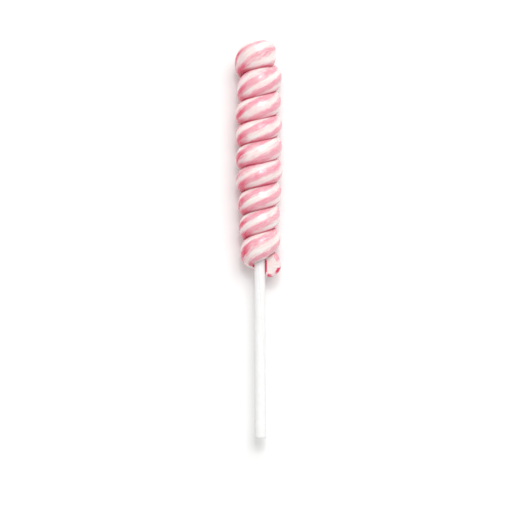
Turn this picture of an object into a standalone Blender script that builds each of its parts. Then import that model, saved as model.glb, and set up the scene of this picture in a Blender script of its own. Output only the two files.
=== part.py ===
"""Swirl lollipop: a rope of hard candy wound round a rolled-paper stick.

The lollipop lies on its side. Its stick runs along Y with the candy at +Y, the side that is
looked at faces +Z, and the candy rests on small flats at Z = 0. Lengths are in millimetres
until metres() turns them into Blender's units.
"""
import math

import bmesh
import bpy
from mathutils import Vector

# Stick
STICK_DIAMETER = 4.0
STICK_LENGTH = 130.0
STICK_SIDES = 40
STICK_EDGE = 0.15  # bevel of the cut ends

# Candy rope: it is wound right-handed, from the crown down to the tail
ROPE_START = 0.08  # in turns, counted from the +X side over the top (+Z) side
ROPE_END = 9.06
ROPE_DEPTH = 3.33  # half thickness across the turn, from the rope's middle to its crest
ROPE_REACH = 4.6  # half width along the stick where no neighbour presses it
PRESS = 0.4  # how much of each side is pressed flat, which leaves the groove between turns
SEAM_GAP = 0.2  # between two turns, from the groove in to the fused core
CROWN_EXTRA = 0.7  # the first turn has no neighbour above it and stays rounder
CROWN_SQUARENESS = 0.25
TAIL_POINTEDNESS = 0.2
TAIL_SLIMMING = 0.15  # the free tail is a little narrower
SKIRT = 1.1  # how far the last turn slumps down the stick in front
END_EDGE = 1.2  # rounding of the rope's two snipped ends
EYE_RADIUS = 0.3  # the first turn closes over the stick's end, down to this radius
INNER_RADIUS = 1.2  # elsewhere the rope reaches past the bore's wall, which then trims it
TAIL_RADIUS = 2.4  # the free tail only lies against the stick

# The rope's route: turn, height of its middle above the frame's origin, radius of its crest
ROUTE = (
    (0.0, 67.4, 8.00), (0.25, 68.3, 8.20), (0.375, 67.35, 8.60), (0.5, 64.9, 8.75),
    (0.75, 61.7, 8.70), (1.0, 59.3, 8.66), (1.5, 54.4, 8.05), (2.0, 50.0, 8.35),
    (2.5, 45.8, 8.70), (3.0, 41.8, 8.62), (3.5, 37.8, 8.75), (4.0, 33.9, 8.70),
    (4.5, 29.8, 8.65), (5.0, 25.5, 8.72), (5.5, 21.4, 8.55), (6.0, 17.2, 8.33),
    (6.5, 12.9, 7.98), (7.0, 8.6, 7.71), (7.5, 4.3, 7.63), (8.0, 0.1, 7.74),
    (8.5, -4.6, 7.25), (8.75, -7.6, 7.60), (9.1, -9.8, 8.10),
)

# Fits and resting
STICK_GAP = 0.3  # clearance between stick and candy
STICK_BOTTOM = -73.0  # the stick's free end
AXIS_HEIGHT = 8.3  # of the stick's middle above the table, less than the crest: leaves flats
CORE_TOP_RADIUS = 6.0  # inside this radius the pressed turns have fused into one body
CORE_BOTTOM_RADIUS = 5.0
CORE_TOP = 60.0
CORE_BOTTOM = -3.0

STATIONS_PER_TURN = 26
# Angles round the rope's section, in degrees from the crest: the fourth one is at the groove
ONE_SIDE = (16.6, 33.2, 49.8, 66.4, 78.0, 90.0, 118.0, 148.0)
SECTION_ANGLES = (0.0, *ONE_SIDE, 180.0, *(-angle for angle in reversed(ONE_SIDE)))
TABLE_SIZE = 400.0


def metres(x, y, z):
    """A point given in millimetres, with Z counted from the stick's axis."""
    return Vector((x, y, z + AXIS_HEIGHT)) / 1000.0


def along_route(column, turn):
    """Smooth curve through one column of ROUTE."""
    turn = min(max(turn, ROUTE[0][0]), ROUTE[-1][0])
    last = len(ROUTE) - 2
    here = max(i for i in range(last + 1) if ROUTE[i][0] <= turn)

    def slope(i):
        spans = [(ROUTE[j + 1][0] - ROUTE[j][0]) for j in range(len(ROUTE) - 1)]
        rates = [(ROUTE[j + 1][column] - ROUTE[j][column]) / spans[j] for j in range(len(spans))]
        if i == 0 or i > last:
            return rates[min(i, last)]
        return (rates[i - 1] * spans[i] + rates[i] * spans[i - 1]) / (spans[i] + spans[i - 1])

    span = ROUTE[here + 1][0] - ROUTE[here][0]
    f = (turn - ROUTE[here][0]) / span
    return (
        (2 * f**3 - 3 * f**2 + 1) * ROUTE[here][column]
        + (f**3 - 2 * f**2 + f) * span * slope(here)
        + (3 * f**2 - 2 * f**3) * ROUTE[here + 1][column]
        + (f**3 - f**2) * span * slope(here + 1)
    )


def ease(value, low, high):
    """0 below low, 1 above high, smooth between."""
    f = min(max((value - low) / (high - low), 0.0), 1.0)
    return f * f * (3.0 - 2.0 * f)


def rounded(angle, power):
    """Cosine and sine, bent towards a square by a power below 1 and to a lozenge above it."""
    c, s = math.cos(angle), math.sin(angle)
    return math.copysign(abs(c) ** power, c), math.copysign(abs(s) ** power, s)


def side_room(turn, side):
    """Half width the rope would take on one side, and where the neighbour there stops it.

    Side is 1 towards the crown and -1 towards the tail. A turn is pressed against its
    neighbour on that side; without one it keeps its own round shape.
    """
    neighbour = turn - side
    beside = ease(neighbour, ROPE_START - 0.12, ROPE_START - 0.03)
    beside *= 1.0 - ease(neighbour, ROPE_END + 0.03, ROPE_END + 0.12)
    half_spacing = abs(along_route(1, neighbour) - along_route(1, turn)) / 2.0
    free = ROPE_REACH - TAIL_SLIMMING * ease(turn, 8.3, 8.9)
    if side < 0:
        free += SKIRT * ease(turn, 7.9, 8.2) * (1.0 - ease(turn, 8.3, 8.7))
    reach = free + beside * (half_spacing + PRESS - free)
    limit = half_spacing - SEAM_GAP / 2.0 + 40.0 * (1.0 - beside)
    return reach, limit


def section_point(turn, angle, shrink):
    """One point of the rope's section: its distance from the axis and its height.

    The angle is 0 at the crest and 90 degrees towards the crown.
    """
    crown = 1.0 - ease(turn, 0.1, 1.1)
    tail = ease(turn, 8.3, 8.9)
    depth = ROPE_DEPTH + CROWN_EXTRA * crown
    middle = along_route(2, turn) - depth
    if abs(angle) <= 90.0:
        power = 1.0 - CROWN_SQUARENESS * crown + TAIL_POINTEDNESS * tail
        depth_here = depth
    else:
        closing = 1.0 - ease(turn, 0.8, 1.3)
        power = 0.6 - 0.3 * closing
        innermost = INNER_RADIUS + (EYE_RADIUS - INNER_RADIUS) * closing
        innermost += (TAIL_RADIUS - INNER_RADIUS) * ease(turn, 8.75, 9.0)
        depth_here = middle - innermost
    across, up = rounded(math.radians(angle), power)
    radius = middle + shrink * depth_here * across
    side = 1 if up > 0.0 else -1
    reach, limit = side_room(turn, side)
    return radius, along_route(1, turn) + shrink * side * min(reach * abs(up), limit)


def stations():
    """Turns at which the rope has a section, and how far its rounded ends shrink there."""
    travel = 2.0 * math.pi * 5.0  # millimetres of rope in a turn
    count = round((ROPE_END - ROPE_START) * STATIONS_PER_TURN)
    places = [ROPE_START + (ROPE_END - ROPE_START) * i / count for i in range(count + 1)]
    lead = END_EDGE / travel
    inner = [t for t in places if ROPE_START + lead * 1.3 < t < ROPE_END - lead * 1.3]
    steps = (0.0, 0.12, 0.45, 1.0)
    places = [ROPE_START + lead * s for s in steps] + inner
    places += [ROPE_END - lead * s for s in reversed(steps)]
    for turn in places:
        gone = 1.0 - min((turn - ROPE_START) / lead, (ROPE_END - turn) / lead, 1.0)
        yield turn, 1.0 - END_EDGE / ROPE_REACH * (1.0 - math.sqrt(1.0 - gone * gone))


def new_object(name, mesh, collection, material=None):
    obj = bpy.data.objects.new(name, mesh)
    collection.objects.link(obj)
    if material is not None:
        mesh.materials.append(material)
    return obj


def make_material(name, colour, roughness):
    material = bpy.data.materials.new(name)
    material.use_nodes = True
    shader = material.node_tree.nodes["Principled BSDF"]
    shader.inputs["Base Color"].default_value = (*colour, 1.0)
    shader.inputs["Roughness"].default_value = roughness
    shader.inputs["Metallic"].default_value = 0.0
    material.diffuse_color = (*colour, 1.0)
    return material


def rope_mesh():
    """The wound rope as a loft through its sections, one every few degrees."""
    bm = bmesh.new()
    rings = []
    for turn, shrink in stations():
        around = 2.0 * math.pi * turn
        ring = []
        for angle in SECTION_ANGLES:
            radius, height = section_point(turn, angle, shrink)
            place = metres(radius * math.cos(around), height, radius * math.sin(around))
            ring.append(bm.verts.new(place))
        rings.append(ring)
    for ring, following in zip(rings, rings[1:]):
        for i in range(len(ring)):
            j = (i + 1) % len(ring)
            bm.faces.new((ring[i], ring[j], following[j], following[i]))
    bm.faces.new(rings[0])
    bm.faces.new(rings[-1])
    bmesh.ops.recalc_face_normals(bm, faces=bm.faces)
    mesh = bpy.data.meshes.new("candy")
    bm.to_mesh(mesh)
    bm.free()
    mesh.shade_smooth()
    return mesh


def rod(name, radii, span, sides, collection, material=None):
    """A closed cylinder or cone along Y: radii and heights of its low and its high end."""
    low, high = span
    bm = bmesh.new()
    bmesh.ops.create_cone(
        bm, cap_ends=True, segments=sides, depth=(high - low) / 1000.0,
        radius1=radii[0] / 1000.0, radius2=radii[1] / 1000.0,
    )
    mesh = bpy.data.meshes.new(name)
    bm.to_mesh(mesh)
    bm.free()
    obj = new_object(name, mesh, collection, material)
    obj.location = metres(0.0, (low + high) / 2.0, 0.0)
    obj.rotation_euler = (-math.pi / 2.0, 0.0, 0.0)
    return obj


def table_cutter(collection):
    """A block whose top is the table: it leaves the flats that the candy rests on."""
    bm = bmesh.new()
    bmesh.ops.create_cube(bm, size=TABLE_SIZE / 1000.0)
    mesh = bpy.data.meshes.new("table")
    bm.to_mesh(mesh)
    bm.free()
    table = new_object("table", mesh, collection)
    table.location = (0.0, 0.0, -TABLE_SIZE / 2000.0)
    return table


def combine(obj, other, operation):
    modifier = obj.modifiers.new(other.name, "BOOLEAN")
    modifier.operation = operation
    modifier.solver = "EXACT"
    modifier.object = other
    other.hide_render = True
    other.display_type = "WIRE"


def build():
    for obj in list(bpy.data.objects):
        bpy.data.objects.remove(obj)
    lollipop = bpy.data.collections.new("swirl_lollipop")
    cutters = bpy.data.collections.new("cutters")
    for collection in (lollipop, cutters):
        bpy.context.scene.collection.children.link(collection)

    sugar = make_material("striped_sugar", (0.87, 0.45, 0.52), 0.15)
    paper = make_material("rolled_paper", (0.88, 0.88, 0.87), 0.7)

    candy = new_object("candy", rope_mesh(), lollipop, sugar)
    core_radii = (CORE_BOTTOM_RADIUS, CORE_TOP_RADIUS)
    core = rod("core", core_radii, (CORE_BOTTOM, CORE_TOP), 40, cutters)
    combine(candy, core, "UNION")
    stick_radius = STICK_DIAMETER / 2.0
    stick_top = STICK_BOTTOM + STICK_LENGTH
    bore_radius = stick_radius + STICK_GAP
    bore_span = (STICK_BOTTOM, stick_top + STICK_GAP)
    bore = rod("bore", (bore_radius, bore_radius), bore_span, 24, cutters)
    combine(candy, bore, "DIFFERENCE")
    combine(candy, table_cutter(cutters), "DIFFERENCE")

    stick_span = (STICK_BOTTOM, stick_top)
    stick = rod("stick", (stick_radius, stick_radius), stick_span, STICK_SIDES, lollipop, paper)
    edges = stick.modifiers.new("cut_ends", "BEVEL")
    edges.width = STICK_EDGE / 1000.0
    edges.segments = 2
    edges.limit_method = "ANGLE"
    stick.data.shade_smooth()


build()
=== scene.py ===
"""Looks of a swirl lollipop: a striped rope of boiled sugar wound round a rolled-paper stick."""
import math

import bpy
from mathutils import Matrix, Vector


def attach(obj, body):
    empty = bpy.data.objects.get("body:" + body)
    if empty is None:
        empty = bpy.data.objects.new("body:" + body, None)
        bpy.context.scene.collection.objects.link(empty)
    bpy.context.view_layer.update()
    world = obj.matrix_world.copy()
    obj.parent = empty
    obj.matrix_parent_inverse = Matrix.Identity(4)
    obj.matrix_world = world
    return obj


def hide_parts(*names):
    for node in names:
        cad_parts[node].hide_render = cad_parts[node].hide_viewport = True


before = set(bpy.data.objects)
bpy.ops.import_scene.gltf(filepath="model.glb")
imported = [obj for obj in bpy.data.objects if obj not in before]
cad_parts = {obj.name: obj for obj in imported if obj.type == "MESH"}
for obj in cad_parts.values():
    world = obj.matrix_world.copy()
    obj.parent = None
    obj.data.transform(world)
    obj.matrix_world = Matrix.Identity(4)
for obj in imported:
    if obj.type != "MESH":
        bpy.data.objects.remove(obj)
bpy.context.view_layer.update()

MM = 0.001

# Stick, in millimetres
STICK_RADIUS = 2.0
STICK_LENGTH = 130.0
STICK_BOTTOM = -73.0
AXIS_HEIGHT = 8.3  # of the stick's middle above the table

# Candy rope, in millimetres; turns are counted from the +X side over the top
ROPE_START = 0.08
ROPE_END = 9.06
ROPE_DEPTH = 3.33  # half thickness across the turn
ROPE_REACH = 4.6  # half width along the stick where no neighbour presses it
PRESS = 0.4
SEAM_GAP = 0.03
CROWN_EXTRA = 0.7
CROWN_SQUARENESS = 0.25
TAIL_POINTEDNESS = 0.2
TAIL_SLIMMING = 0.15
SKIRT = 1.1
END_EDGE = 1.2
EYE_RADIUS = 0.15
HUG_RADIUS = 1.9  # the rope is pressed on to the stick
TAIL_RADIUS = 2.1
INNER_POWER = 0.4  # below 1 squares the rope's inner side, which fills up against the stick
FAR_AWAY = 40.0  # nothing stops a side that has no neighbour
MIDDLE_RADIUS = 5.0  # of the rope's own middle, roughly
END_STEPS = (12, 28, 45, 62, 78)  # degrees round the rounded edge of a snipped end
SINK = 0.12  # keeps lumps and strands within the rope's size
SETTLING = 0.12  # rounds the edge of the flats that the candy rests on

# Stripes, dye and painted shade
STRIPES = 5  # pink stripes round the rope
ARC_PER_RADIAN = 4.4  # millimetres on the crest for a radian round the rope
TURN_LENGTH = 33.0  # millimetres of rope in a turn, for the grain
CROWN_BARENESS = 0.42  # the crown took less dye
TAIL_DYE = 0.7  # how deep the tail's dye is
LIT_SIDE_SHADE_SHARE = 0.62  # painted groove shade is weaker on the side of each turn towards the crown, which faces the light
STRIPE_LEVEL = 1.9  # where a stripe's edge lies on its wave and the streaks together
STRIPE_BLUR = 0.95

# The rope's route: turn, height of its middle along the stick, radius of its crest
ROUTE = (
    (0.0, 67.4, 8.00), (0.25, 68.3, 8.20), (0.375, 67.35, 8.60), (0.5, 64.9, 8.75),
    (0.75, 61.7, 8.70), (1.0, 59.3, 8.66), (1.5, 54.4, 8.05), (2.0, 50.0, 8.35),
    (2.5, 45.8, 8.70), (3.0, 41.8, 8.62), (3.5, 37.8, 8.75), (4.0, 33.9, 8.70),
    (4.5, 29.8, 8.65), (5.0, 25.5, 8.72), (5.5, 21.4, 8.55), (6.0, 17.2, 8.33),
    (6.5, 12.9, 7.98), (7.0, 8.6, 7.71), (7.5, 4.3, 7.63), (8.0, 0.1, 7.74),
    (8.5, -4.6, 7.25), (8.75, -7.6, 7.60), (9.1, -9.8, 8.10),
)

# How the rope was twisted as it was wound, turn by turn from the crown: how many stripes pass
# the crest on the way to the next turn, and how wide a pink and a white one are together there
TWIST = (
    (4.5, 4.5), (3.9, 4.5), (4.2, 5.5), (3.7, 5.5), (3.6, 7.0), (3.4, 5.0), (3.9, 5.0),
    (3.4, 5.0), (3.2, 6.0),
)
FIRST_STRIPE = -0.95  # stripes past the crest, a quarter of a turn from the start
STRIPE_LAG = 0.2  # stripes that they hang back by where the rope comes up the +X side
PAINTED_SHADE_SIDE = 0.53  # part of a turn round the stick where painted shade deepens the pink most: the -X side, away from the light

STATIONS_PER_TURN = 108
SECTION_POINTS = 72
CAP_RINGS = 6
MATH = "ShaderNodeMath"


# --------------------------------------------------------------------------------- helpers

def add(tree, kind, inputs=(), **settings):
    """Adds a node with its settings; a socket or a node given as an input is linked."""
    node = tree.nodes.new(kind)
    for name, value in settings.items():
        setattr(node, name, value)
    for key, value in dict(inputs).items():
        if isinstance(value, bpy.types.Node):
            value = value.outputs[0]
        if isinstance(value, bpy.types.NodeSocket):
            tree.links.new(value, node.inputs[key])
        else:
            node.inputs[key].default_value = value
    return node


def srgb(code):
    """A hex colour as the linear colour that the shaders take."""
    parts = [int(code[i:i + 2], 16) / 255.0 for i in (1, 3, 5)]
    return (*(c / 12.92 if c <= 0.04045 else ((c + 0.055) / 1.055) ** 2.4 for c in parts), 1.0)


def ease(value, low, high):
    f = min(max((value - low) / (high - low), 0.0), 1.0)
    return f * f * (3.0 - 2.0 * f)


def along(table, column, place):
    """Smooth curve through one column of a table whose first column is the place."""
    place = min(max(place, table[0][0]), table[-1][0])
    spans = [b[0] - a[0] for a, b in zip(table, table[1:])]
    rates = [(b[column] - a[column]) / s for a, b, s in zip(table, table[1:], spans)]
    last = len(spans) - 1
    here = max(i for i in range(last + 1) if table[i][0] <= place)

    def slope(i):
        if i == 0 or i > last:
            return rates[min(i, last)]
        return (rates[i - 1] * spans[i] + rates[i] * spans[i - 1]) / (spans[i] + spans[i - 1])

    f = (place - table[here][0]) / spans[here]
    return (
        (2 * f**3 - 3 * f**2 + 1) * table[here][column]
        + (f**3 - 2 * f**2 + f) * spans[here] * slope(here)
        + (3 * f**2 - 2 * f**3) * table[here + 1][column]
        + (f**3 - f**2) * spans[here] * slope(here + 1)
    )


def stripes_passed():
    """A table for along(): turn, stripes that have passed the crest, width of a pair of them."""
    rows = [(0.0, FIRST_STRIPE - 0.25 * TWIST[0][0], TWIST[0][1])]
    passed = FIRST_STRIPE
    for i, (stripes, width) in enumerate(TWIST):
        rows.append((i + 0.25, passed, width))
        passed += stripes
    return [*rows, (len(TWIST) + 0.25, passed, TWIST[-1][1])]


def side_room(turn, side):
    """Half width the rope would take on one side, where the neighbour stops it, and if it does."""
    neighbour = turn - side
    beside = ease(neighbour, ROPE_START - 0.12, ROPE_START - 0.03)
    beside *= 1.0 - ease(neighbour, ROPE_END + 0.03, ROPE_END + 0.12)
    half_spacing = abs(along(ROUTE, 1, neighbour) - along(ROUTE, 1, turn)) / 2.0
    free = ROPE_REACH - TAIL_SLIMMING * ease(turn, 8.3, 8.9)
    if side < 0:
        free += SKIRT * ease(turn, 7.9, 8.2) * (1.0 - ease(turn, 8.3, 8.7))
    reach = free + beside * (half_spacing + PRESS - free)
    limit = half_spacing - SEAM_GAP / 2.0 + FAR_AWAY * (1.0 - beside)
    return reach, limit, beside


def stations():
    """The rope's sections: turn, how far each is shrunk, and how far it lies inside the cut."""
    lead = END_EDGE / (2.0 * math.pi * MIDDLE_RADIUS)
    count = round((ROPE_END - ROPE_START) * STATIONS_PER_TURN)
    edge = [1.0 - math.cos(math.radians(a)) for a in END_STEPS]
    inner = [ROPE_START + (ROPE_END - ROPE_START) * i / count for i in range(count + 1)]
    inner = [t for t in inner if ROPE_START + lead < t < ROPE_END - lead]
    rim = 1.0 - END_EDGE / ROPE_REACH
    cap = [rim * (i + 0.15) / CAP_RINGS for i in range(CAP_RINGS)]
    head = [(ROPE_START, s) for s in cap]
    head += [(ROPE_START + lead * e, rim + (1 - rim) * math.sqrt(1 - (1 - e) ** 2)) for e in edge]
    tail = [(ROPE_START + ROPE_END - turn, shrink) for turn, shrink in reversed(head)]
    return head + [(turn, 1.0) for turn in inner] + tail


def guide_line():
    """A line with one vertex for each section of the rope, which carries the section's sizes."""
    rows = stations()
    twisted = stripes_passed()
    mesh = bpy.data.meshes.new("rope guide")
    mesh.from_pydata([(0, 0, 0)] * len(rows), [(i, i + 1) for i in range(len(rows) - 1)], [])
    columns = {name: [] for name in ("route", "up_side", "down_side", "section", "dye", "ends")}
    for turn, shrink in rows:
        crown = 1.0 - ease(turn, 0.1, 1.1)
        tail = ease(turn, 8.3, 8.9)
        closing = 1.0 - ease(turn, 0.8, 1.3)
        innermost = HUG_RADIUS + (EYE_RADIUS - HUG_RADIUS) * closing
        innermost += (TAIL_RADIUS - HUG_RADIUS) * ease(turn, 8.75, 9.0)
        depth = ROPE_DEPTH + CROWN_EXTRA * crown
        middle = along(ROUTE, 2, turn) - depth
        columns["route"] += (turn, along(ROUTE, 1, turn), middle)
        columns["up_side"] += side_room(turn, 1)
        columns["down_side"] += side_room(turn, -1)
        columns["section"] += (depth, middle - innermost, shrink)
        spacing = along(twisted, 2, turn)
        passed = along(twisted, 1, turn)
        passed += STRIPE_LAG * max(math.cos(2 * math.pi * (turn - 0.05)), 0.0)
        stretch = ARC_PER_RADIAN / spacing - STRIPES / (2 * math.pi)
        columns["dye"] += (
            2 * math.pi * passed / STRIPES, 2 * math.pi * stretch / STRIPES,
            # third value: how deep the pink goes, as painted shade round the stick, deepest on the
            # -X side, and as a deeper pink over the tail
            max(
                TAIL_DYE * ease(turn, 8.75, 8.95),
                ease(math.cos(2 * math.pi * (turn - PAINTED_SHADE_SIDE)), 0.2, 0.95),
            ),
        )
        power = 1.0 - CROWN_SQUARENESS * crown + TAIL_POINTEDNESS * tail
        columns["ends"] += (
            power, CROWN_BARENESS * (1.0 - ease(turn, 0.3, 0.9)),
            # painted shade round the stick: the groove's painted shade and dark line are full at
            # the +X and -X sides, half as strong on top and underneath
            math.cos(2 * math.pi * turn) ** 2,
        )
    for name, values in columns.items():
        mesh.attributes.new(name, "FLOAT_VECTOR", "POINT").data.foreach_set("vector", values)
    guide = bpy.data.objects.new("rope guide", mesh)
    bpy.context.scene.collection.objects.link(guide)
    return guide, len(rows)


# ------------------------------------------------------------------------- geometry trees

def new_tree(name, inputs):
    """A geometry tree with named inputs: name, socket type, value."""
    tree = bpy.data.node_groups.new(name, "GeometryNodeTree")
    tree.interface.new_socket("Geometry", in_out="OUTPUT", socket_type="NodeSocketGeometry")
    for label, kind, value in inputs:
        socket = tree.interface.new_socket(label, in_out="INPUT", socket_type=kind)
        if value is not None:
            socket.default_value = value
    return tree


def rope_tree():
    """Sweeps the rope's section along its guide, turn by turn round the stick."""
    tree = new_tree("wound candy rope", (
        ("Guide", "NodeSocketObject", None),
        ("Stations", "NodeSocketInt", 900),
        ("Section Points", "NodeSocketInt", 72),
        ("Axis Height", "NodeSocketFloat", AXIS_HEIGHT),
        ("Stripes", "NodeSocketFloat", float(STRIPES)),
        ("Lump Height", "NodeSocketFloat", 0.16),
        ("Lump Size", "NodeSocketFloat", 7.0),
        ("Strand Height", "NodeSocketFloat", 0.07),
        ("Candy", "NodeSocketMaterial", None),
    ))
    given = add(tree, "NodeGroupInput").outputs

    last = add(tree, MATH, {0: given["Stations"], 1: 1.0}, operation="SUBTRACT")
    tube = add(
        tree, "GeometryNodeMeshCylinder",
        {"Vertices": given["Section Points"], "Side Segments": last, "Radius": 1.0, "Depth": 1.0},
        fill_type="NGON",
    )
    place = add(tree, "ShaderNodeSeparateXYZ", {0: add(tree, "GeometryNodeInputPosition")})
    angle = add(
        tree, MATH, {0: place.outputs["Y"], 1: place.outputs["X"]}, operation="ARCTAN2"
    )
    lifted = add(tree, MATH, {0: place.outputs["Z"], 1: 0.5}, operation="ADD")
    spot = add(tree, MATH, {0: lifted, 1: last}, operation="MULTIPLY")
    index = add(tree, "FunctionNodeFloatToInt", {0: spot}, rounding_mode="ROUND")
    guide = add(tree, "GeometryNodeObjectInfo", {"Object": given["Guide"]})

    sampled = {}
    for name in ("route", "up_side", "down_side", "section", "dye", "ends"):
        named = add(tree, "GeometryNodeInputNamedAttribute", {"Name": name},
                    data_type="FLOAT_VECTOR")
        value = add(
            tree, "GeometryNodeSampleIndex",
            {"Geometry": guide.outputs["Geometry"], "Value": named, "Index": index},
            data_type="FLOAT_VECTOR", domain="POINT",
        )
        sampled[name] = add(tree, "ShaderNodeSeparateXYZ", {0: value}).outputs
    turn, height, middle = sampled["route"]
    depth, inner_depth, shrink = sampled["section"]
    twist, stretch, dye = sampled["dye"]

    # the section: a rounded shape, squarer against the stick and where the rope ends
    cosine = add(tree, MATH, {0: angle}, operation="COSINE")
    sine = add(tree, MATH, {0: angle}, operation="SINE")
    outward = add(tree, MATH, {0: cosine, 1: -0.0001}, operation="GREATER_THAN")
    power = add(tree, "GeometryNodeSwitch", {"Switch": outward, "False": INNER_POWER,
                                             "True": sampled["ends"][0]},
                input_type="FLOAT")
    depth_here = add(tree, "GeometryNodeSwitch", {"Switch": outward, "False": inner_depth,
                                                  "True": depth}, input_type="FLOAT")
    bent = []
    for wave in (cosine, sine):
        size = add(tree, MATH, {0: wave}, operation="ABSOLUTE")
        raised = add(tree, MATH, {0: size, 1: power}, operation="POWER")
        sign = add(tree, MATH, {0: wave}, operation="SIGN")
        bent.append(add(tree, MATH, {0: raised, 1: sign}, operation="MULTIPLY"))
    across, up = bent
    above = add(tree, MATH, {0: sine, 1: 0.0}, operation="GREATER_THAN")
    reach = add(tree, "GeometryNodeSwitch", {
        "Switch": above, "False": sampled["down_side"][0], "True": sampled["up_side"][0],
    }, input_type="FLOAT")
    limit = add(tree, "GeometryNodeSwitch", {
        "Switch": above, "False": sampled["down_side"][1], "True": sampled["up_side"][1],
    }, input_type="FLOAT")
    beside = add(tree, "GeometryNodeSwitch", {
        "Switch": above, "False": sampled["down_side"][2], "True": sampled["up_side"][2],
    }, input_type="FLOAT")
    wide = add(tree, MATH, {0: reach, 1: up}, operation="MULTIPLY")
    kept = add(tree, MATH, {0: wide, 1: limit}, operation="MINIMUM")
    below = add(tree, MATH, {0: limit, 1: -1.0}, operation="MULTIPLY")
    rise = add(tree, MATH, {0: kept, 1: below}, operation="MAXIMUM")
    rise_here = add(tree, MATH, {0: rise, 1: shrink, 2: height}, operation="MULTIPLY_ADD")
    inset = add(tree, MATH, {0: across, 1: depth_here}, operation="MULTIPLY")
    radius = add(tree, MATH, {0: inset, 1: shrink, 2: middle}, operation="MULTIPLY_ADD")

    # the dyed stripes turn round the rope as they run along it
    waved = add(tree, MATH, {0: sine, 1: stretch, 2: angle}, operation="MULTIPLY_ADD")
    dyed = add(tree, MATH, {0: waved, 1: twist}, operation="ADD")
    round_x = add(tree, MATH, {0: dyed}, operation="COSINE")
    round_y = add(tree, MATH, {0: dyed}, operation="SINE")
    length = add(tree, MATH, {0: turn, 1: TURN_LENGTH}, operation="MULTIPLY")
    grain = add(tree, "ShaderNodeCombineXYZ", {0: round_x, 1: round_y, 2: length})

    # unevenness: slow lumps, and strands that stand proud along each stripe
    along_rope = add(tree, "ShaderNodeVectorMath", {0: grain, 1: (4.0, 4.0, 1.0)},
                     operation="MULTIPLY")
    lump_scale = add(tree, MATH, {0: 1.0, 1: given["Lump Size"]}, operation="DIVIDE")
    lump = add(tree, "ShaderNodeTexNoise", {"Vector": along_rope, "Scale": lump_scale,
                                            "Detail": 1.0, "Roughness": 0.4})
    lump_in = add(tree, MATH, {0: lump, 1: 0.5}, operation="SUBTRACT")
    lump_mm = add(tree, MATH, {0: lump_in, 1: given["Lump Height"]}, operation="MULTIPLY")
    phase = add(tree, MATH, {0: dyed, 1: given["Stripes"]}, operation="MULTIPLY")
    ridge = add(tree, MATH, {0: phase}, operation="COSINE")
    ridge_mm = add(tree, MATH, {0: ridge, 1: given["Strand Height"], 2: lump_mm},
                   operation="MULTIPLY_ADD")
    proud = add(tree, MATH, {0: ridge_mm, 1: SINK}, operation="SUBTRACT")
    outer_only = add(tree, MATH, {0: cosine, 1: 0.0}, operation="MAXIMUM")
    swell = add(tree, MATH, {0: proud, 1: outer_only}, operation="MULTIPLY")
    radius_here = add(tree, MATH, {0: swell, 1: shrink, 2: radius},
                      operation="MULTIPLY_ADD")

    # placed round the stick, and settled on the table
    around = add(tree, MATH, {0: turn, 1: 2.0 * math.pi}, operation="MULTIPLY")
    x = add(tree, MATH, {
        0: add(tree, MATH, {0: around}, operation="COSINE"), 1: radius_here,
    }, operation="MULTIPLY")
    z = add(tree, MATH, {
        0: add(tree, MATH, {0: around}, operation="SINE"), 1: radius_here,
        2: given["Axis Height"],
    }, operation="MULTIPLY_ADD")
    settled = add(tree, MATH, {0: z, 1: 0.0, 2: SETTLING}, operation="SMOOTH_MAX")
    point = add(tree, "ShaderNodeCombineXYZ", {0: x, 1: rise_here, 2: settled})
    scaled = add(tree, "ShaderNodeVectorMath", {0: point, "Scale": MM}, operation="SCALE")

    # what the finish reads: the grain round and along the rope, the groove, and where shade is
    # painted
    # nearness to the groove; on the crown side it counts less, so painted groove shade falls
    # mostly on the lower side of each turn
    hollow = add(tree, MATH, {0: wide, 1: limit}, operation="DIVIDE")
    sheltered = add(tree, MATH, {0: hollow, 1: -1.0}, operation="MULTIPLY")
    lit_side_nearness = add(tree, MATH, {0: hollow, 1: LIT_SIDE_SHADE_SHARE}, operation="MULTIPLY")
    hollow_size = add(tree, MATH, {0: sheltered, 1: lit_side_nearness}, operation="MAXIMUM")
    pressed = add(tree, MATH, {0: hollow_size, 1: beside}, operation="MULTIPLY")
    # painted shade: the pink deepens on the lower side of each turn, away from the light from
    # above, by the amount set round the stick and at the tail
    shaded_lower_side = add(tree, "ShaderNodeMapRange", {"Value": sine, "From Min": 0.75,
                                             "From Max": 0.0}, interpolation_type="SMOOTHSTEP")
    painted_shade_and_tail_dye = add(tree, MATH, {0: dye, 1: shaded_lower_side}, operation="MULTIPLY")
    marks = add(tree, "ShaderNodeCombineXYZ", {0: pressed, 1: shrink, 2: painted_shade_and_tail_dye})
    shape = tube.outputs["Mesh"]
    # kept for the finish: the crown's bareness, and how full the painted groove shade is round the
    # stick
    crown_bareness_and_side_shade = add(tree, "ShaderNodeCombineXYZ", {0: sampled["ends"][1], 1: sampled["ends"][2]})
    for name, value in (("grain", grain), ("marks", marks), ("dye", crown_bareness_and_side_shade)):
        shape = add(tree, "GeometryNodeStoreNamedAttribute",
                    {"Geometry": shape, "Name": name, "Value": value},
                    data_type="FLOAT_VECTOR", domain="POINT").outputs[0]
    moved = add(tree, "GeometryNodeSetPosition", {"Geometry": shape, "Position": scaled})
    smooth = add(tree, "GeometryNodeSetShadeSmooth", {"Geometry": moved})
    real = add(tree, "GeometryNodeRealizeInstances", {"Geometry": smooth})
    done = add(tree, "GeometryNodeSetMaterial", {"Geometry": real, "Material": given["Candy"]})
    add(tree, "NodeGroupOutput", {0: done})
    return tree


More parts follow.
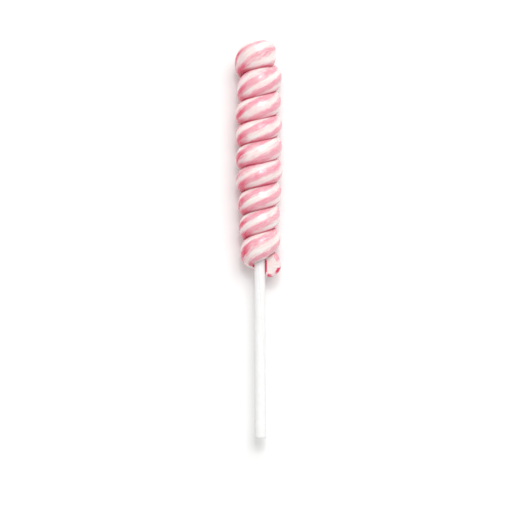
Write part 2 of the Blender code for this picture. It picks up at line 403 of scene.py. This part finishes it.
def stick_tree():
    """A rolled-paper stick: the sheet's edge is a low step up it, and its ends show layers."""
    tree = new_tree("rolled paper stick", (
        ("Radius", "NodeSocketFloat", STICK_RADIUS),
        ("Length", "NodeSocketFloat", STICK_LENGTH),
        ("Bottom", "NodeSocketFloat", STICK_BOTTOM),
        ("Axis Height", "NodeSocketFloat", AXIS_HEIGHT),
        ("Seam Step", "NodeSocketFloat", 0.06),
        ("Seam Lead", "NodeSocketFloat", 210.0),
        ("Paper", "NodeSocketMaterial", None),
    ))
    given = add(tree, "NodeGroupInput").outputs
    rod = add(tree, "GeometryNodeMeshCylinder", {
        "Vertices": 96, "Side Segments": 130, "Fill Segments": 14, "Radius": 1.0, "Depth": 1.0,
    }, fill_type="TRIANGLE_FAN")
    place = add(tree, "ShaderNodeSeparateXYZ", {0: add(tree, "GeometryNodeInputPosition")})
    angle = add(
        tree, MATH, {0: place.outputs["Y"], 1: place.outputs["X"]}, operation="ARCTAN2"
    )
    flat = add(tree, "ShaderNodeCombineXYZ", {0: place.outputs["X"], 1: place.outputs["Y"]})
    out = add(tree, "ShaderNodeVectorMath", {0: flat}, operation="LENGTH").outputs["Value"]
    lifted = add(tree, MATH, {0: place.outputs["Z"], 1: 0.5}, operation="ADD")
    height = add(tree, MATH, {0: lifted, 1: given["Length"]}, operation="MULTIPLY")

    # the wrap: radius falls slowly round the stick and steps up again at the sheet's edge
    lead = add(tree, MATH, {0: height, 1: given["Seam Lead"]}, operation="DIVIDE")
    part = add(tree, MATH, {0: angle, 1: 1 / (2 * math.pi), 2: lead},
               operation="MULTIPLY_ADD")
    wrap = add(tree, MATH, {0: part}, operation="FRACT")
    ramp = add(tree, "ShaderNodeMapRange", {"Value": wrap, "From Min": 0.0, "From Max": 0.03,
                                            "To Min": 1.0, "To Max": 0.0})
    fall = add(tree, MATH, {0: wrap, 1: ramp}, operation="MAXIMUM")
    step = add(tree, MATH, {0: given["Seam Step"], 1: fall}, operation="MULTIPLY")
    outside = add(tree, MATH, {0: given["Radius"], 1: step}, operation="SUBTRACT")
    radius = add(tree, MATH, {0: outside, 1: out}, operation="MULTIPLY")

    # the cut ends: the sheet's layers show as fine rings, and the rim is a little crushed
    layers = add(tree, MATH, {0: out, 1: 9.0, 2: part}, operation="MULTIPLY_ADD")
    layer = add(tree, MATH, {0: layers}, operation="FRACT")
    dent = add(tree, MATH, {0: layer, 1: 0.06}, operation="MULTIPLY")
    rim = add(tree, "ShaderNodeMapRange", {"Value": out, "From Min": 0.9, "From Max": 1.0,
                                           "To Min": 0.0, "To Max": 0.12})
    sunk = add(tree, MATH, {0: dent, 1: rim}, operation="ADD")
    edge = add(tree, MATH, {0: place.outputs["Z"]}, operation="ABSOLUTE")
    at_end = add(tree, MATH, {0: edge, 1: 0.4999}, operation="GREATER_THAN")
    side = add(tree, MATH, {0: place.outputs["Z"]}, operation="SIGN")
    inward = add(tree, MATH, {0: side, 1: -1.0}, operation="MULTIPLY")
    pushed = add(tree, MATH, {0: sunk, 1: at_end}, operation="MULTIPLY")
    shift = add(tree, MATH, {0: pushed, 1: inward, 2: given["Bottom"]},
                operation="MULTIPLY_ADD")
    y = add(tree, MATH, {0: height, 1: shift}, operation="ADD")
    x = add(tree, MATH, {
        0: add(tree, MATH, {0: angle}, operation="COSINE"), 1: radius,
    }, operation="MULTIPLY")
    below = add(tree, MATH, {
        0: add(tree, MATH, {0: angle}, operation="SINE"), 1: radius,
    }, operation="MULTIPLY")
    z = add(tree, MATH, {0: given["Axis Height"], 1: below}, operation="SUBTRACT")
    point = add(tree, "ShaderNodeCombineXYZ", {0: x, 1: y, 2: z})
    scaled = add(tree, "ShaderNodeVectorMath", {0: point, "Scale": MM}, operation="SCALE")
    paper = add(tree, "ShaderNodeCombineXYZ", {0: wrap, 1: height, 2: out})
    kept = add(tree, "GeometryNodeStoreNamedAttribute",
               {"Geometry": rod.outputs["Mesh"], "Name": "paper", "Value": paper},
               data_type="FLOAT_VECTOR", domain="POINT")
    moved = add(tree, "GeometryNodeSetPosition", {"Geometry": kept, "Position": scaled})
    smooth = add(tree, "GeometryNodeSetShadeSmooth", {"Geometry": moved})
    real = add(tree, "GeometryNodeRealizeInstances", {"Geometry": smooth})
    done = add(tree, "GeometryNodeSetMaterial", {"Geometry": real, "Material": given["Paper"]})
    add(tree, "NodeGroupOutput", {0: done})
    return tree


def made(name, tree, values):
    """Runs a geometry tree with the values given by input name, and keeps its plain mesh."""
    holder = bpy.data.objects.new(name, bpy.data.meshes.new(name + " start"))
    bpy.context.scene.collection.objects.link(holder)
    modifier = holder.modifiers.new(tree.name, "NODES")
    modifier.node_group = tree
    for item in tree.interface.items_tree:
        if item.in_out == "INPUT" and item.name in values:
            modifier[item.identifier] = values[item.name]
    seen = holder.evaluated_get(bpy.context.evaluated_depsgraph_get())
    mesh = bpy.data.meshes.new_from_object(seen)
    holder.modifiers.clear()
    holder.data = mesh
    mesh.name = name
    return holder


# ------------------------------------------------------------------------------ materials

def new_material(name):
    material = bpy.data.materials.new(name)
    material.use_nodes = True
    material.node_tree.nodes.clear()
    return material, material.node_tree


def candy_material():
    """Boiled sugar, pulled white and dyed pink, rolled into one rope and twisted: a hard gloss
    over strands that run with the stripes, a little see-through; the white takes up some pink in
    streaks. A deeper pink in the grooves, on the lower side of each turn and on the -X side, over
    the white as well, is painted shade, and so is a dark line down each groove."""
    material, tree = new_material("pulled boiled sugar")
    grain = add(tree, "ShaderNodeAttribute", attribute_name="grain").outputs["Vector"]
    marks = add(tree, "ShaderNodeAttribute", attribute_name="marks").outputs["Vector"]
    way = add(tree, "ShaderNodeSeparateXYZ", {0: grain})
    mark = add(tree, "ShaderNodeSeparateXYZ", {0: marks})
    dye = add(tree, "ShaderNodeAttribute", attribute_name="dye").outputs["Vector"]
    bareness_and_shaded_sides = add(tree, "ShaderNodeSeparateXYZ", {0: dye})

    # strands: noise drawn out about twenty times along the rope
    drawn = add(tree, "ShaderNodeVectorMath", {0: grain, 1: (4.2, 4.2, 0.22)},
                operation="MULTIPLY")
    strand = add(tree, "ShaderNodeTexNoise", {"Vector": drawn, "Scale": 0.9, "Detail": 3.0,
                                              "Roughness": 0.6})
    fine = add(tree, "ShaderNodeTexNoise", {"Vector": drawn, "Scale": 3.6, "Detail": 2.0,
                                            "Roughness": 0.6})

    # five pink stripes with soft edges, a little wider here and narrower there
    round_rope = add(tree, MATH, {0: way.outputs["Y"], 1: way.outputs["X"]},
                     operation="ARCTAN2")
    phase = add(tree, MATH, {0: round_rope, 1: float(STRIPES)}, operation="MULTIPLY")
    wave = add(tree, MATH, {0: phase}, operation="COSINE")
    strayed = add(tree, MATH, {0: strand, 1: 2.2, 2: wave}, operation="MULTIPLY_ADD")
    frayed = add(tree, MATH, {0: fine, 1: 1.6, 2: strayed}, operation="MULTIPLY_ADD")
    streaked = add(tree, MATH, {0: frayed, 1: bareness_and_shaded_sides.outputs["X"]}, operation="SUBTRACT")
    stripe = add(tree, "ShaderNodeMapRange", {
        "Value": streaked,
        "From Min": STRIPE_LEVEL - STRIPE_BLUR, "From Max": STRIPE_LEVEL + STRIPE_BLUR,
    }, interpolation_type="SMOOTHSTEP")

    # the dye is only in the outside: a cut end is white inside
    skin = add(tree, "ShaderNodeMapRange", {
        "Value": mark.outputs["Y"], "From Min": 0.62, "From Max": 0.78,
    }, interpolation_type="SMOOTHSTEP")
    slow = add(tree, "ShaderNodeTexNoise", {"Vector": grain, "Scale": 0.16, "Detail": 1.0})
    strength = add(tree, "ShaderNodeMapRange", {"Value": slow, "From Min": 0.35,
                                                "From Max": 0.6, "To Min": 0.85})
    faded = add(tree, MATH, {0: stripe, 1: strength}, operation="MULTIPLY")
    dyed = add(tree, MATH, {0: faded, 1: skin}, operation="MULTIPLY")
    # painted shade in the grooves: a deeper pink near each groove, full at the +X and -X sides of
    # the stick and half as strong on top
    beside = add(tree, MATH, {0: bareness_and_shaded_sides.outputs["Y"], 1: 0.5, 2: 0.5},
                 operation="MULTIPLY_ADD")
    hollow = add(tree, "ShaderNodeMapRange", {
        "Value": mark.outputs["X"], "From Min": 0.5, "From Max": 0.97, "To Max": 0.9,
    }, interpolation_type="SMOOTHSTEP")
    painted_groove_shade = add(tree, MATH, {0: hollow, 1: beside}, operation="MULTIPLY")
    # painted shade on the lower side of each turn and on the -X side of the stick, strongest near
    # the grooves; over the stripes and, more faintly, over the white
    corner = add(tree, "ShaderNodeMapRange", {
        "Value": mark.outputs["X"], "From Min": 0.3, "From Max": 0.8,
    }, interpolation_type="SMOOTHSTEP")
    wide = add(tree, MATH, {0: mark.outputs["Z"], 1: 0.4}, operation="POWER")
    painted_edge_shade = add(tree, MATH, {0: corner, 1: wide}, operation="MULTIPLY")
    stripe_or_edge_shade = add(tree, MATH, {0: dyed, 1: painted_edge_shade}, operation="MAXIMUM")
    share = add(tree, MATH, {0: stripe_or_edge_shade, 1: 0.85, 2: 0.15}, operation="MULTIPLY_ADD")
    painted_side_shade = add(tree, MATH, {0: mark.outputs["Z"], 1: 1.6}, operation="MULTIPLY",
                    use_clamp=True)
    side = add(tree, MATH, {0: painted_side_shade, 1: share}, operation="MULTIPLY")
    # all painted shade together, kept off the white inside of a cut end
    either = add(tree, MATH, {0: painted_groove_shade, 1: side}, operation="MAXIMUM")
    deeper = add(tree, MATH, {0: either, 1: painted_edge_shade}, operation="MAXIMUM")
    painted_shade_mask = add(tree, MATH, {0: deeper, 1: skin}, operation="MULTIPLY")
    # painted shade: a dark crimson line down the bottom of each groove
    seam = add(tree, "ShaderNodeMapRange", {
        "Value": mark.outputs["X"], "From Min": 0.82, "From Max": 0.93,
    }, interpolation_type="SMOOTHSTEP")
    painted_groove_line = add(tree, MATH, {0: seam, 1: beside}, operation="MULTIPLY")

    pink = add(tree, "ShaderNodeMix", {
        0: add(tree, "ShaderNodeMapRange", {"Value": fine, "From Min": 0.3, "From Max": 0.7}),
        6: srgb("#F4B3BE"), 7: srgb("#E88AA1"),
    }, data_type="RGBA").outputs[2]
    plain = add(tree, "ShaderNodeMix", {
        0: add(tree, "ShaderNodeMapRange", {"Value": strand, "From Min": 0.35,
                                            "From Max": 0.75}),
        6: srgb("#F9F0EC"), 7: srgb("#F5DAD9"),
    }, data_type="RGBA").outputs[2]
    striped = add(tree, "ShaderNodeMix", {0: dyed, 6: plain, 7: pink},
                  data_type="RGBA").outputs[2]
    # painted shade: a shaded copy of the stripes' pink, deeper and darker, and a pink for the
    # white, laid where the shade is painted
    painted_shade_colour = add(tree, "ShaderNodeMix", {0: stripe_or_edge_shade, 6: srgb("#EE9DB0"), 7: srgb("#E01456")},
               data_type="RGBA").outputs[2]
    with_painted_shade = add(tree, "ShaderNodeMix", {0: painted_shade_mask, 6: striped, 7: painted_shade_colour},
                   data_type="RGBA").outputs[2]
    # the dark painted shade line laid over the grooves
    colour = add(tree, "ShaderNodeMix", {0: painted_groove_line, 6: with_painted_shade, 7: srgb("#C01543")},
                 data_type="RGBA").outputs[2]

    rough = add(tree, "ShaderNodeMapRange", {"Value": fine, "From Min": 0.3, "From Max": 0.7,
                                             "To Min": 0.16, "To Max": 0.27})
    relief = add(tree, MATH, {0: fine, 1: 0.5, 2: strand}, operation="MULTIPLY_ADD")
    bump = add(tree, "ShaderNodeBump", {"Height": relief, "Strength": 0.35,
                                        "Distance": 0.15 * MM})
    sugar = add(tree, "ShaderNodeBsdfPrincipled", {
        "Base Color": colour, "Roughness": rough, "Normal": bump, "IOR": 1.5,
        "Subsurface Weight": 0.4, "Subsurface Radius": (1.0, 0.35, 0.3),
        "Subsurface Scale": 0.7 * MM, "Coat Weight": 0.25, "Coat Roughness": 0.06,
    })
    add(tree, "ShaderNodeOutputMaterial", {"Surface": sugar})
    return material


def paper_material():
    """White paper rolled tight and pressed: matt and smooth, with fibres that show faintly."""
    material, tree = new_material("rolled white paper")
    where = add(tree, "ShaderNodeTexCoord").outputs["Object"]
    sheet = add(tree, "ShaderNodeAttribute", attribute_name="paper").outputs["Vector"]
    part = add(tree, "ShaderNodeSeparateXYZ", {0: sheet})
    drawn = add(tree, "ShaderNodeVectorMath", {0: where, 1: (1.0, 0.22, 1.0)},
                operation="MULTIPLY")
    fibre = add(tree, "ShaderNodeTexNoise", {"Vector": drawn, "Scale": 2600.0, "Detail": 4.0,
                                             "Roughness": 0.65})
    cloud = add(tree, "ShaderNodeTexNoise", {"Vector": where, "Scale": 260.0, "Detail": 2.0})
    seam = add(tree, "ShaderNodeMapRange", {"Value": part.outputs["X"], "From Min": 0.0,
                                            "From Max": 0.035, "To Min": 1.0, "To Max": 0.0})
    tone = add(tree, "ShaderNodeMix", {
        0: add(tree, "ShaderNodeMapRange", {"Value": fibre, "From Min": 0.3,
                                            "From Max": 0.7}),
        6: srgb("#FAFAFA"), 7: srgb("#F1F1F0"),
    }, data_type="RGBA").outputs[2]
    clouded = add(tree, "ShaderNodeMix", {
        0: add(tree, "ShaderNodeMapRange", {"Value": cloud, "From Min": 0.4, "From Max": 0.8,
                                            "To Max": 0.5}),
        6: tone, 7: srgb("#ECECEB"),
    }, data_type="RGBA").outputs[2]
    shaded = add(tree, "ShaderNodeMix", {
        0: add(tree, MATH, {0: seam, 1: 0.45}, operation="MULTIPLY"),
        6: clouded, 7: srgb("#CFCBC4"),
    }, data_type="RGBA").outputs[2]
    rough = add(tree, "ShaderNodeMapRange", {"Value": cloud, "To Min": 0.55, "To Max": 0.75})
    bump = add(tree, "ShaderNodeBump", {"Height": fibre, "Strength": 0.25,
                                        "Distance": 0.05 * MM})
    paper = add(tree, "ShaderNodeBsdfPrincipled", {
        "Base Color": shaded, "Roughness": rough, "Normal": bump, "IOR": 1.45,
    })
    add(tree, "ShaderNodeOutputMaterial", {"Surface": paper})
    return material


def floor_material():
    """A white sheet of matt card."""
    material, tree = new_material("white card")
    card = add(tree, "ShaderNodeBsdfPrincipled", {
        "Base Color": srgb("#FBFBFA"), "Roughness": 0.9, "Specular IOR Level": 0.1,
    })
    add(tree, "ShaderNodeOutputMaterial", {"Surface": card})
    return material


# --------------------------------------------------------------------------------- pieces

guide, station_count = guide_line()
rope = made("candy_rope", rope_tree(), {
    "Guide": guide, "Stations": station_count, "Section Points": SECTION_POINTS,
    "Candy": candy_material(),
})
bpy.data.objects.remove(guide)
stick = made("paper_stick", stick_tree(), {"Paper": paper_material()})

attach(rope, "root")
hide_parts("candy")
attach(stick, "root")
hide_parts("stick")


# ---------------------------------------------------------------------- floor, light, camera

def area_light(name, size, power, place, aim):
    lamp = bpy.data.lights.new(name, "AREA")
    lamp.shape = "DISK"
    lamp.size = size
    lamp.energy = power
    lamp_object = bpy.data.objects.new(name, lamp)
    lamp_object.location = place
    lamp_object.rotation_euler = (Vector(aim) - Vector(place)).to_track_quat("-Z", "Y").to_euler()
    bpy.context.scene.collection.objects.link(lamp_object)


floor_mesh = bpy.data.meshes.new("floor")
floor_mesh.from_pydata([(-3, -3, 0), (3, -3, 0), (3, 3, 0), (-3, 3, 0)], [], [(0, 1, 2, 3)])
floor_mesh.materials.append(floor_material())
floor = bpy.data.objects.new("floor", floor_mesh)
bpy.context.scene.collection.objects.link(floor)

area_light("softbox", 2.2, 56.0, (0.5, 1.5, 2.6), (0, 0, 0))
area_light("lamp", 0.34, 6.0, (0.12, 1.15, 2.3), (0, 0.03, 0))
world = bpy.data.worlds.new("soft white room")
world.use_nodes = True
world.node_tree.nodes["Background"].inputs["Color"].default_value = (1.0, 1.0, 1.0, 1.0)
world.node_tree.nodes["Background"].inputs["Strength"].default_value = 0.57
bpy.context.scene.world = world
bpy.context.scene.view_settings.view_transform = "Standard"

lens = bpy.data.cameras.new("camera")
lens.sensor_width = 36.0
lens.lens = 384.7
lens.clip_end = 10.0
camera = bpy.data.objects.new("camera", lens)
camera.location = (-0.0017, -0.0057, 2.0083)
camera.rotation_euler = (0.0, 0.0, math.radians(-0.35))
bpy.context.scene.collection.objects.link(camera)
bpy.context.scene.camera = camera
